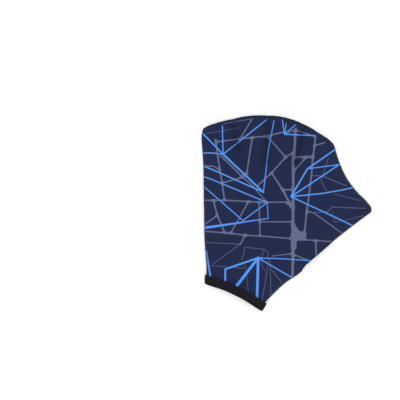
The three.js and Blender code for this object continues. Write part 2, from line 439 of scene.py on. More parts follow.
def make_object(name: str, vertices: np.ndarray, faces: Sequence[Sequence[int]]) -> bpy.types.Object:
    """Mesh object from vertices in millimetres, with smooth faces and sharp creases."""
    mesh = bpy.data.meshes.new(name)
    mesh.from_pydata((np.asarray(vertices) * MM).tolist(), [], [list(map(int, f)) for f in faces])
    mesh.update()
    mesh.polygons.foreach_set("use_smooth", np.ones(len(mesh.polygons), bool))
    mesh.set_sharp_from_angle(angle=math.radians(50))
    piece = bpy.data.objects.new(name, mesh)
    bpy.context.scene.collection.objects.link(piece)
    return piece


def add_measure(piece: bpy.types.Object, name: str, values: np.ndarray) -> None:
    """Store one number for each vertex, for a material to read."""
    layer = piece.data.attributes.new(name, "FLOAT", "POINT")
    layer.data.foreach_set("value", np.asarray(values, np.float32))


def dress(piece: bpy.types.Object, finishes: Sequence[bpy.types.Material]) -> None:
    """Give a piece its materials and the body that it rides on."""
    for finish in finishes:
        piece.data.materials.append(finish)
    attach(piece, BODY)


class NodeSheet:
    """Writes a node tree from short calls, with sockets or plain values as inputs."""

    def __init__(self, tree: bpy.types.NodeTree) -> None:
        """Keep the tree that the nodes go into."""
        self.tree = tree

    def node(self, kind: str, inputs: dict[Union[int, str], Value] = {}, **settings: object) -> bpy.types.Node:
        """Add one node, set it up and join or fill its inputs."""
        made = self.tree.nodes.new(kind)
        for name, value in settings.items():
            setattr(made, name, value)
        for key, value in inputs.items():
            if isinstance(value, bpy.types.NodeSocket):
                self.tree.links.new(value, made.inputs[key])
            else:
                made.inputs[key].default_value = value
        return made

    def math(self, operation: str, *values: Value, clamp: bool = False) -> Socket:
        """Result of a Math node."""
        inputs = dict(enumerate(values))
        return self.node("ShaderNodeMath", inputs, operation=operation, use_clamp=clamp).outputs[0]

    def vector(self, operation: str, *values: Value, output: int = 0) -> Socket:
        """Result of a Vector Math node."""
        inputs = dict(enumerate(values))
        return self.node("ShaderNodeVectorMath", inputs, operation=operation).outputs[output]

    def ramp(self, value: Value, start: Value, end: Value, low: Value, high: Value) -> Socket:
        """Value mapped from one range to another, smoothly and held at both ends."""
        inputs = {0: value, 1: start, 2: end, 3: low, 4: high}
        return self.node("ShaderNodeMapRange", inputs, interpolation_type="SMOOTHSTEP").outputs[0]

    def mix(self, share: Value, first: Value, second: Value) -> Socket:
        """Colour between two colours."""
        made = self.node("ShaderNodeMix", {0: share, 6: first, 7: second}, data_type="RGBA")
        return made.outputs[2]

    def tint(self, colour: Value, factor: Value) -> Socket:
        """Colour or vector times a number."""
        inputs = {0: colour[:3] if isinstance(colour, tuple) else colour, "Scale": factor}
        return self.node("ShaderNodeVectorMath", inputs, operation="SCALE").outputs[0]

    def measure(self, name: str) -> Socket:
        """Number stored on the vertices."""
        return self.node("ShaderNodeAttribute", attribute_name=name).outputs["Fac"]

    def group(self, tree: bpy.types.NodeTree, **inputs: Value) -> bpy.types.Node:
        """Place a node group; the words of an input's name are joined by underscores."""
        made = self.node("ShaderNodeGroup", node_tree=tree)
        for name, value in inputs.items():
            key = name.replace("_", " ").title()
            if isinstance(value, bpy.types.NodeSocket):
                self.tree.links.new(value, made.inputs[key])
            else:
                made.inputs[key].default_value = value
        return made


class GroupSheet(NodeSheet):
    """A node group with named inputs and outputs."""

    def __init__(self, name: str, inputs: dict[str, str], outputs: dict[str, str]) -> None:
        """Make the group, with the kind of each socket given after its name."""
        super().__init__(bpy.data.node_groups.new(name, "ShaderNodeTree"))
        for direction, sockets in (("INPUT", inputs), ("OUTPUT", outputs)):
            for title, kind in sockets.items():
                self.tree.interface.new_socket(title, in_out=direction, socket_type=f"NodeSocket{kind}")
        self.given = self.tree.nodes.new("NodeGroupInput").outputs
        self.result = self.tree.nodes.new("NodeGroupOutput").inputs

    def give(self, title: str, value: Socket) -> None:
        """Join a value to an output of the group."""
        self.tree.links.new(value, self.result[title])


class Effects:
    """The shader groups that several finishes share, each built once."""

    def __init__(self) -> None:
        """Build the groups."""
        self.line = self._line()
        self.knit = self._knit()
        self.blotch = self._blotch()
        # Painted shade that darkens the colour towards the panels' edges.
        self.edge = self._painted_edge_shade()
        self.weave = self._weave()

    def _line(self) -> bpy.types.NodeTree:
        """Distance to the rim of one printed line, merged with the lines before it."""
        sheet = GroupSheet(
            "printed_line",
            {
                "Point": "Vector",
                "Start": "Vector",
                "Direction": "Vector",
                "Length": "Float",
                "Half Width": "Float",
                "Taper": "Float",
                "So Far": "Float",
            },
            {"Distance": "Float"},
        )
        given = sheet.given
        offset = sheet.vector("SUBTRACT", given["Point"], given["Start"])
        along = sheet.vector("DOT_PRODUCT", offset, given["Direction"], output=1)
        along = sheet.math("MAXIMUM", sheet.math("MINIMUM", along, given["Length"]), 0.0)
        foot = sheet.tint(given["Direction"], along)
        away = sheet.vector("DISTANCE", offset, foot, output=1)
        half = sheet.math("MULTIPLY_ADD", along, given["Taper"], given["Half Width"])
        rim = sheet.math("SUBTRACT", away, half)
        sheet.give("Distance", sheet.math("MINIMUM", rim, given["So Far"]))
        return sheet.tree

    def _knit(self) -> bpy.types.NodeTree:
        """Height of the loops of a fine knitted jersey, and painted shade that darkens the hollows between
        them.
        """
        sheet = GroupSheet(
            "jersey_knit",
            {"Point": "Vector", "Wale": "Float", "Course": "Float"},
            {"Height": "Float", "Shade": "Float"},
        )
        given = sheet.given
        sway = sheet.node("ShaderNodeTexNoise", {"Vector": given["Point"], "Scale": 90.0, "Detail": 1.0})
        place = sheet.node("ShaderNodeSeparateXYZ", {0: given["Point"]})
        across = sheet.math("DIVIDE", place.outputs[0], given["Wale"])
        across = sheet.math("MULTIPLY_ADD", sway.outputs[0], 0.5, across)
        along = sheet.math("DIVIDE", place.outputs[1], given["Course"])
        column = sheet.math("ABSOLUTE", sheet.math("SINE", sheet.math("MULTIPLY", across, math.pi)))
        leaning = sheet.math("MULTIPLY_ADD", column, 0.55, along)
        row = sheet.math("SINE", sheet.math("MULTIPLY", leaning, 2 * math.pi))
        loops = sheet.math("MULTIPLY_ADD", row, 0.22, 0.78)
        height = sheet.math("MULTIPLY", column, loops)
        sheet.give("Height", height)
        # Painted shade: the low parts between the loops are darker.
        sheet.give("Shade", sheet.math("MULTIPLY_ADD", height, 0.3, 0.82))
        return sheet.tree

    def _blotch(self) -> bpy.types.NodeTree:
        """Uneven dye in large soft patches and fine specks."""
        sheet = GroupSheet(
            "uneven_dye",
            {"Point": "Vector", "Patch": "Float", "Speck": "Float"},
            {"Factor": "Float"},
        )
        point = sheet.given["Point"]
        patches = sheet.node("ShaderNodeTexNoise", {"Vector": point, "Scale": 35.0, "Detail": 2.0})
        specks = sheet.node("ShaderNodeTexNoise", {"Vector": point, "Scale": 900.0, "Detail": 1.0})
        patch = sheet.math("SUBTRACT", patches.outputs[0], 0.5)
        speck = sheet.math("SUBTRACT", specks.outputs[0], 0.5)
        first = sheet.math("MULTIPLY_ADD", patch, sheet.given["Patch"], 1.0)
        sheet.give("Factor", sheet.math("MULTIPLY_ADD", speck, sheet.given["Speck"], first))
        return sheet.tree

    def _painted_edge_shade(self) -> bpy.types.NodeTree:
        """Painted shade: darkening towards a cut or sewn edge, where the rounded edge turns away from the
        light.
        """
        sheet = GroupSheet(
            "painted_edge_shade",
            {"Distance": "Float", "Reach": "Float", "Darkest": "Float"},
            {"Factor": "Float"},
        )
        given = sheet.given
        factor = sheet.ramp(given["Distance"], 0.0, given["Reach"], given["Darkest"], 1.0)
        sheet.give("Factor", factor)
        return sheet.tree

    def _weave(self) -> bpy.types.NodeTree:
        """Height of a fine plain weave with ribs along it."""
        sheet = GroupSheet(
            "ribbed_weave",
            {"Point": "Vector", "Across": "Float", "Pitch": "Float"},
            {"Height": "Float"},
        )
        given = sheet.given
        ribs = sheet.math("SINE", sheet.math("DIVIDE", given["Across"], given["Pitch"]))
        grain = sheet.node("ShaderNodeTexNoise", {"Vector": given["Point"], "Scale": 1800.0, "Detail": 2.0})
        sheet.give("Height", sheet.math("MULTIPLY_ADD", ribs, 0.5, grain.outputs[0]))
        return sheet.tree


class Point(NamedTuple):
    """A point of the print chart: steps of one chart unit right and down from its corner."""

    right: float
    down: float


@dataclass(frozen=True)
class Stroke:
    """One printed line through chart points, with its width at both ends."""

    width: float
    path: tuple[tuple[float, float], ...]
    end_width: float = -1.0


LITTLE_HUB = Point(23, 44.4)
RING_HUB = Point(63, 82.2)
MIDDLE_HUB = Point(66.8, 92.4)
CROSSING = Point(42.6, 110.4)
INDEX_HUB = Point(90.4, 86.6)
INDEX_FORK = Point(106.9, 58.9)
TOP_HUB = Point(84.2, 24.6)
WRIST_HUB = Point(57.8, 147.4)

RAYS = (
    Stroke(1.4, ((1.6, 22.4), LITTLE_HUB)),
    Stroke(1.1, ((22.3, 16.2), LITTLE_HUB)),
    Stroke(1.1, ((67.8, 8.8), LITTLE_HUB)),
    Stroke(1.1, ((1, 43), (11, 43), LITTLE_HUB)),
    Stroke(1.7, (LITTLE_HUB, RING_HUB)),
    Stroke(1.0, ((73.8, 11), (68.2, 40.5), RING_HUB)),
    Stroke(1.3, ((1, 55), (14, 60.4), RING_HUB)),
    Stroke(1.1, ((1, 65.5), (12.5, 69.8), MIDDLE_HUB)),
    Stroke(1.0, ((1, 74), CROSSING)),
    Stroke(1.0, (MIDDLE_HUB, CROSSING)),
    Stroke(0.8, (MIDDLE_HUB, (67.7, 108.2))),
    Stroke(2.6, ((1, 118.2), (67.7, 108.2)), 0.8),
    Stroke(1.4, (INDEX_HUB, INDEX_FORK, (138, 37.4))),
    Stroke(1.0, (INDEX_FORK, (142, 54.2))),
    Stroke(1.2, (INDEX_HUB, (142, 52.6))),
    Stroke(1.2, (INDEX_HUB, (122, 83.4), (141, 80), (160, 76))),
    Stroke(1.2, (INDEX_HUB, (158, 118.2))),
    Stroke(1.2, (TOP_HUB, (82, 10.4)), 0.9),
    Stroke(1.1, (TOP_HUB, (85.9, 13.8)), 0.8),
    Stroke(1.2, (TOP_HUB, (95.3, 14.8)), 0.9),
    Stroke(1.2, (TOP_HUB, (100, 25), (114, 25.8))),
    Stroke(1.8, (WRIST_HUB, (25.2, 158.6), (24.9, 180))),
    Stroke(2.3, (WRIST_HUB, (34, 178.4)), 3.0),
    Stroke(2.7, (WRIST_HUB, (56.6, 194)), 2.5),
    Stroke(1.2, (WRIST_HUB, (97, 170.5))),
    Stroke(1.0, (WRIST_HUB, (84.6, 148.4), (114, 150.6))),
    Stroke(1.2, ((6.4, 141), (11.6, 174)), 2.0),
)
CRACKS = (
    Stroke(2.6, ((95.3, 19), (94.2, 40.5), (92.8, 51), (92.4, 115), (92.2, 168))),
    Stroke(5.0, ((94.6, 124.3), (102.3, 124.3))),
    Stroke(5.0, ((94.6, 127), (102.6, 127))),
    Stroke(3.6, ((92.6, 115.6), (98.2, 123))),
    Stroke(4.6, ((93.3, 126), (93.3, 136.5))),
    Stroke(1.6, ((115.2, 26.4), (112, 50.5), (110.8, 65.5), (105.6, 105.5), (103.8, 123))),
    Stroke(1.4, ((16.4, 32.2), (39.7, 29), (67, 26.2), (82.4, 22.4))),
    Stroke(1.1, ((84, 24), (95, 20), (106, 23.5), (114.2, 27))),
    Stroke(1.2, ((51.8, 9.6), (39.7, 29.4))),
    Stroke(1.4, ((52, 28), (46.4, 64))),
    Stroke(1.3, ((66.4, 25.6), (85.2, 47.4), (93.6, 42))),
    Stroke(1.4, ((85.2, 47.4), (71.2, 63), (57.6, 75.4))),
    Stroke(1.3, ((71.2, 63), (82, 79.6), (91, 96.4)), 2.2),
    Stroke(1.3, ((82, 79.6), (92.4, 79.8))),
    Stroke(1.7, ((93.8, 47.2), (112, 47))),
    Stroke(1.4, ((106, 47.2), (94, 61))),
    Stroke(1.2, ((114.2, 35.8), (124.4, 32.7))),
    Stroke(1.5, ((15.4, 29.8), (18.3, 50.5), (20.8, 65.5), (24.3, 89.6))),
    Stroke(1.6, ((21, 46.2), (30.5, 55.4), (40.6, 65.6), (52, 75.6), (66, 92)), 1.1),
    Stroke(1.4, ((23.2, 72.6), (40.5, 68), (46.6, 63.8))),
    Stroke(1.2, ((1, 56), (13, 56.2), (19.6, 60))),
    Stroke(1.3, ((1, 90.2), (30.5, 90.4), (62, 92.4), (84.5, 92), (92.4, 97))),
    Stroke(1.4, ((13.4, 90.3), (17.2, 105), (24.6, 122.4))),
    Stroke(1.2, ((17.2, 105), (1, 117.4))),
    Stroke(1.3, ((48.4, 91.4), (30.4, 122.8))),
    Stroke(1.2, ((58.6, 91.6), (59.6, 125))),
    Stroke(1.2, ((59, 111.6), (91.6, 111.6))),
    Stroke(1.3, ((1, 121), (24.5, 122.4), (45, 124.8), (66.5, 126.2), (91.6, 128.4))),
    Stroke(1.5, ((45, 124.8), (39.9, 134)), 1.2),
    Stroke(1.1, ((97, 129), (115.4, 130.2), (136, 131.8))),
    Stroke(1.4, ((115, 130.4), (115.4, 150))),
    Stroke(1.3, ((93, 144.2), (112, 151.6)), 0.9),
    Stroke(1.2, ((92, 143.2), (71.3, 145.6)), 0.8),
    Stroke(1.2, ((106, 101.2), (112.4, 102.4), (146, 126.2)), 0.9),
)
SCRATCHES = (
    Stroke(0.8, ((24, 13.8), (40.5, 10.9), (52, 9.2))),
    Stroke(0.5, ((5.8, 23.3), (20.5, 21.5), (38.5, 17.8))),
    Stroke(0.9, ((111, 65.6), (121, 66), (146, 75.8))),
    Stroke(0.6, ((128, 48), (120.3, 69.7), (125.7, 82))),
    Stroke(0.6, ((134, 84), (160, 90.6))),
    Stroke(0.7, ((5.8, 132.2), (39.7, 133.8), (13.5, 153.3))),
    Stroke(0.7, ((41.8, 149.4), (44.6, 136.8), (63.4, 138.8), (67.6, 141.8), (67.4, 156), (61.4, 192))),
    Stroke(0.6, ((63.4, 138.8), (61.4, 147), (61.4, 155), (64.6, 160.5))),
    Stroke(0.6, ((69.6, 148), (69.8, 157), (70.7, 185))),
    Stroke(0.7, ((70, 158), (81.8, 172.4))),
    Stroke(0.6, ((10.4, 155.2), (43.5, 157.7))),
    Stroke(0.5, ((43.5, 154), (46, 159), (47.9, 181))),
    Stroke(0.8, ((112.4, 102.4), (127, 101.4), (131.4, 97), (164.5, 98.2))),
    Stroke(0.5, ((131, 101), (134, 112), (146.3, 109.6), (163, 105.4))),
)


@dataclass(frozen=True)
class PrintChart:
    """Where the chart of printed lines lies on the glove, and how its lines are drawn."""

    units_across: float = 169.9
    corner_right: float = 1.7
    corner_down: float = 195.5 + 5.5
    soft_rim: float = 0.14
    fillet: float = 3.2
    widest_fillet: float = 4.6

    def unit(self, form: GloveForm) -> float:
        """Millimetres of one chart unit."""
        return form.width / self.units_across

    def place(self, form: GloveForm, right: float, down: float) -> np.ndarray:
        """Point of the chart in metres, in the solids' frame."""
        unit = self.unit(form)
        plan = np.array([(right - self.corner_right) * unit, (self.corner_down - down) * unit])
        return np.append((plan + form.shift) * MM, 0.0)

    def distance(
        self,
        sheet: NodeSheet,
        effects: Effects,
        form: GloveForm,
        point: Socket,
        strokes: Sequence[Stroke],
        fillet: float,
    ) -> Socket:
        """Distance to the rim of the nearest of some strokes.

        Args:
            sheet: The material's node sheet.
            effects: The shared shader groups.
            form: The glove's form.
            point: The shaded point in plan, in metres.
            strokes: The printed lines.
            fillet: Size of the fillets where lines meet, for each width of the line.

        Returns:
            The distance in metres, below zero on a line.
        """
        unit = self.unit(form) * MM
        nearest: Value = 1.0
        for stroke in strokes:
            corners = [self.place(form, *corner) for corner in stroke.path]
            lengths = [float(np.linalg.norm(b - a)) for a, b in zip(corners[:-1], corners[1:])]
            end_width = stroke.width if stroke.end_width < 0 else stroke.end_width
            slope = (end_width - stroke.width) * unit / 2 / sum(lengths)
            half = stroke.width * unit / 2
            own: Value = 1.0
            for start, end, length in zip(corners[:-1], corners[1:], lengths):
                own = sheet.group(
                    effects.line,
                    point=point,
                    start=tuple(start),
                    direction=tuple((end - start) / length),
                    length=length,
                    half_width=half,
                    taper=slope,
                    so_far=own,
                ).outputs[0]
                half += slope * length
            melt = min(fillet * stroke.width, self.widest_fillet) * unit
            nearest = sheet.math("SMOOTH_MIN", own, nearest, melt)
        return nearest


def srgb(red: int, green: int, blue: int) -> tuple[float, float, float, float]:
    """Linear colour of a screen colour given in steps of 255."""
    steps = (value / 255 for value in (red, green, blue))
    return (*(s / 12.92 if s <= 0.04045 else ((s + 0.055) / 1.055) ** 2.4 for s in steps), 1.0)


class Finish:
    """Base of the finishes: makes a material with one Principled shader."""

    name: str

    def begin(self) -> tuple[NodeSheet, bpy.types.Node, Socket]:
        """Start the material.

        Returns:
            The node sheet, the shader and the object coordinates.
        """
        material = bpy.data.materials.new(self.name)
        material.use_nodes = True
        self.material = material
        sheet = NodeSheet(material.node_tree)
        shader = material.node_tree.nodes["Principled BSDF"]
        point = sheet.node("ShaderNodeTexCoord").outputs["Object"]
        return sheet, shader, point


@dataclass
class JerseyFinish(Finish):
    """Matt knitted jersey on neoprene, plain or printed."""

    name: str
    ground: tuple[float, float, float, float]
    roughness: float = 0.85
    specular: float = 0.07
    sheen: float = 0.03
    wale: float = 0.85
    course: float = 0.7
    bump_height: float = 0.16
    crack: tuple[float, float, float, float] = srgb(84, 90, 117)
    scratch: tuple[float, float, float, float] = srgb(74, 79, 108)
    ray: tuple[float, float, float, float] = srgb(70, 131, 214)
    # Reach and darkest factor of the painted shade along the edges.
    painted_edge_shade_reach: float = 1.7
    painted_edge_shade_darkest: float = 0.45
    chart: PrintChart = field(default_factory=PrintChart)

    def make(self, effects: Effects, form: GloveForm, printed: bool) -> bpy.types.Material:
        """Build the material.

        Args:
            effects: The shared shader groups.
            form: The glove's form.
            printed: Whether the line print is on it.

        Returns:
            The material.
        """
        sheet, shader, point = self.begin()
        knit = sheet.group(effects.knit, point=point, wale=self.wale * MM, course=self.course * MM)
        dye = sheet.group(effects.blotch, point=point, patch=0.22, speck=0.25)
        colour: Value = self.ground
        if printed:
            flat = sheet.vector("MULTIPLY", point, (1.0, 1.0, 0.0))
            rim = self.chart.soft_rim * MM
            for strokes, fillet, ink in (
                (SCRATCHES, 0.0, self.scratch),
                (CRACKS, self.chart.fillet, self.crack),
                (RAYS, 0.0, self.ray),
            ):
                away = self.chart.distance(sheet, effects, form, flat, strokes, fillet)
                colour = sheet.mix(sheet.ramp(away, -rim, rim, 1.0, 0.0), colour, ink)
        # Painted shade in the hollows of the knit, times the dye's random tone.
        shade = sheet.math("MULTIPLY", knit.outputs["Shade"], dye.outputs["Factor"])
        # Painted shade: the colour darkens in the last millimetres of each edge, where the rounded edge turns
        # away from the light.
        edge = sheet.group(
            effects.edge, distance=sheet.measure("edge"), reach=self.painted_edge_shade_reach, darkest=self.painted_edge_shade_darkest
        )
        shade = sheet.math("MULTIPLY", shade, edge.outputs[0])
        sheet.tree.links.new(sheet.tint(colour, shade), shader.inputs["Base Color"])
        gloss = sheet.math("MULTIPLY_ADD", knit.outputs["Height"], -0.12, self.roughness + 0.08)
        sheet.tree.links.new(gloss, shader.inputs["Roughness"])
        shader.inputs["Specular IOR Level"].default_value = self.specular
        shader.inputs["Sheen Weight"].default_value = self.sheen
        shader.inputs["Sheen Roughness"].default_value = 0.6
        relief = sheet.node(
            "ShaderNodeBump",
            {"Height": knit.outputs["Height"], "Distance": self.bump_height * MM, "Strength": 0.6},
        )
        sheet.tree.links.new(relief.outputs[0], shader.inputs["Normal"])
        return self.material


@dataclass
class FoamFinish(Finish):
    """Cut edge of the neoprene foam between its two jerseys."""

    name: str = "cut_neoprene"
    ground: tuple[float, float, float, float] = srgb(19, 21, 28)

    def make(self, effects: Effects) -> bpy.types.Material:
        """Build the material from a fine cell pattern."""
        sheet, shader, point = self.begin()
        cells = sheet.node("ShaderNodeTexVoronoi", {"Vector": point, "Scale": 2600.0})
        dye = sheet.group(effects.blotch, point=point, patch=0.3, speck=0.5)
        sheet.tree.links.new(sheet.tint(self.ground, dye.outputs[0]), shader.inputs["Base Color"])
        shader.inputs["Roughness"].default_value = 0.9
        shader.inputs["Specular IOR Level"].default_value = 0.15
        relief = sheet.node(
            "ShaderNodeBump", {"Height": cells.outputs["Distance"], "Distance": 0.1 * MM, "Strength": 0.5}
        )
        sheet.tree.links.new(relief.outputs[0], shader.inputs["Normal"])
        return self.material


@dataclass
class TapeFinish(Finish):
    """Black ribbed binding tape."""

    name: str = "black_tape"
    ground: tuple[float, float, float, float] = srgb(20, 19, 24)
    rib_pitch: float = 0.18

    def make(self, effects: Effects) -> bpy.types.Material:
        """Build the material from ribs along the tape and a fine grain."""
        sheet, shader, point = self.begin()
        weave = sheet.group(effects.weave, point=point, across=sheet.measure("across"), pitch=self.rib_pitch)
        dye = sheet.group(effects.blotch, point=point, patch=0.25, speck=0.4)
        # Painted shade in the troughs between the ribs, mixed with the grain's random tone.
        shade = sheet.math("MULTIPLY_ADD", weave.outputs[0], 0.22, 0.86)
        shade = sheet.math("MULTIPLY", shade, dye.outputs[0])
        sheet.tree.links.new(sheet.tint(self.ground, shade), shader.inputs["Base Color"])
        shader.inputs["Roughness"].default_value = 0.78
        shader.inputs["Specular IOR Level"].default_value = 0.06
        relief = sheet.node(
            "ShaderNodeBump", {"Height": weave.outputs[0], "Distance": 0.12 * MM, "Strength": 0.6}
        )
        sheet.tree.links.new(relief.outputs[0], shader.inputs["Normal"])
        return self.material


@dataclass
class ThreadFinish(Finish):
    """Twisted sewing thread."""

    name: str
    ground: tuple[float, float, float, float]

    def make(self, effects: Effects) -> bpy.types.Material:
        """Build the material from a diagonal twist."""
        sheet, shader, point = self.begin()
        twist = sheet.node(
            "ShaderNodeTexWave",
            {"Vector": point, "Scale": 900.0, "Distortion": 1.5},
            bands_direction="DIAGONAL",
        )
        # Painted shade in the grooves of the twist.
        shade = sheet.math("MULTIPLY_ADD", twist.outputs["Fac"], 0.3, 0.8)
        sheet.tree.links.new(sheet.tint(self.ground, shade), shader.inputs["Base Color"])
        shader.inputs["Roughness"].default_value = 0.6
        shader.inputs["Specular IOR Level"].default_value = 0.25
        relief = sheet.node(
            "ShaderNodeBump", {"Height": twist.outputs["Fac"], "Distance": 0.05 * MM, "Strength": 0.5}
        )
        sheet.tree.links.new(relief.outputs[0], shader.inputs["Normal"])
        return self.material


@dataclass
class Wardrobe:
    """All the materials of the glove."""

    effects: Effects
    form: GloveForm

    def __post_init__(self) -> None:
        """Make each material once."""
        self.printed = JerseyFinish("printed_jersey", srgb(24, 32, 60)).make(self.effects, self.form, True)
        self.plain = JerseyFinish("plain_jersey", srgb(25, 27, 36)).make(self.effects, self.form, False)
        self.lining = JerseyFinish("inner_jersey", srgb(33, 35, 44)).make(self.effects, self.form, False)
        self.foam = FoamFinish().make(self.effects)
        self.tape = TapeFinish().make(self.effects)
        self.navy_thread = ThreadFinish("navy_thread", srgb(44, 50, 78)).make(self.effects)
        self.black_thread = ThreadFinish("black_thread", srgb(30, 29, 35)).make(self.effects)


@dataclass
class Panel:
    """One neoprene sheet of the glove, between two faces of the form."""

    name: str
    form: GloveForm
    upper: Face
    lower: Face
    rows: int = 170
    finger_columns: int = 26
    thumb_columns: int = 62
    rim_bulge: float = 0.2

    @staticmethod
    def clustered(count: int) -> np.ndarray:
        """Shares from 0 to 1 that lie closer together towards both ends."""
        even = np.linspace(0, 1, count + 1)
        return 0.45 * even + 0.55 * (0.5 - 0.5 * np.cos(math.pi * even))

    def columns(self) -> np.ndarray:
        """Mesh columns from the pinky side to the thumb side."""
        strips = self.form.strips
        counts = [self.finger_columns] * (strips - 1) + [self.thumb_columns]
        places = [(i + self.clustered(n)[1:]) / strips for i, n in enumerate(counts)]
        return np.concatenate([[0.0], *places])

    def row_places(self) -> np.ndarray:
        """Mesh rows from the wrist to the fingertips, closer round the thumb's corner."""
        tip, spread = self.form.thumb_tip, 0.04
        fine = np.linspace(0, 1, 4000)
        density = 1 + 1.6 * np.exp(-(((fine - tip) / spread) ** 2)) + 1.5 * np.exp(-((1 - fine) / 0.02))
        total = np.cumsum(density)
        total = (total - total[0]) / (total[-1] - total[0])
        return np.interp(np.linspace(0, 1, self.rows + 1), total, fine)

    def build(self, finishes: Sequence[bpy.types.Material], slot: Slot) -> bpy.types.Object:
        """Make and dress the panel.

        Args:
            finishes: Materials of the upper face, the lower face and the cut edge.
            slot: The record's slot; not used.

        Returns:
            The panel.
        """
        columns, rows = self.columns(), self.row_places()
        u, v = np.meshgrid(columns, rows)
        layers = self.form.layers(u, v)
        faces = [np.column_stack([layers.plan, layers.heights[f]]) for f in (self.upper, self.lower)]
        wide, count = len(columns), u.size
        rim = np.concatenate(
            [
                np.arange(wide - 1),
                np.arange(len(rows) - 1) * wide + wide - 1,
                (len(rows) - 1) * wide + np.arange(wide - 1, 0, -1),
                np.arange(len(rows) - 1, 0, -1) * wide,
            ]
        )
        middle = (faces[0][rim] + faces[1][rim]) / 2
        run = np.roll(middle, -1, axis=0) - np.roll(middle, 1, axis=0)
        outward = np.column_stack([run[:, 1], -run[:, 0]])
        outward /= np.maximum(np.linalg.norm(outward, axis=1), 1e-9)[:, None]
        tall = np.linalg.norm(faces[0][rim] - faces[1][rim], axis=1)[:, None]
        middle[:, :2] += outward * np.minimum(self.rim_bulge, tall * 0.2)
        vertices = np.vstack([*faces, middle])
        ring = np.arange(len(rim))
        after = np.roll(ring, -1)
        upper_wall = np.column_stack([rim, 2 * count + ring, 2 * count + after, rim[after]])
        lower_wall = np.column_stack([2 * count + ring, count + rim, count + rim[after], 2 * count + after])
        quads = [
            grid_faces(len(rows), wide, 0, False),
            grid_faces(len(rows), wide, count, True),
            upper_wall,
            lower_wall,
        ]
        piece = make_object(self.name, vertices, np.vstack(quads))
        kinds = np.repeat([0, 1, 2, 2], [len(q) for q in quads])
        piece.data.polygons.foreach_set("material_index", kinds.astype(np.int32))
        add_measure(piece, "edge", np.concatenate([layers.near_edge, layers.near_edge, np.zeros(len(rim))]))
        dress(piece, finishes)
        return piece


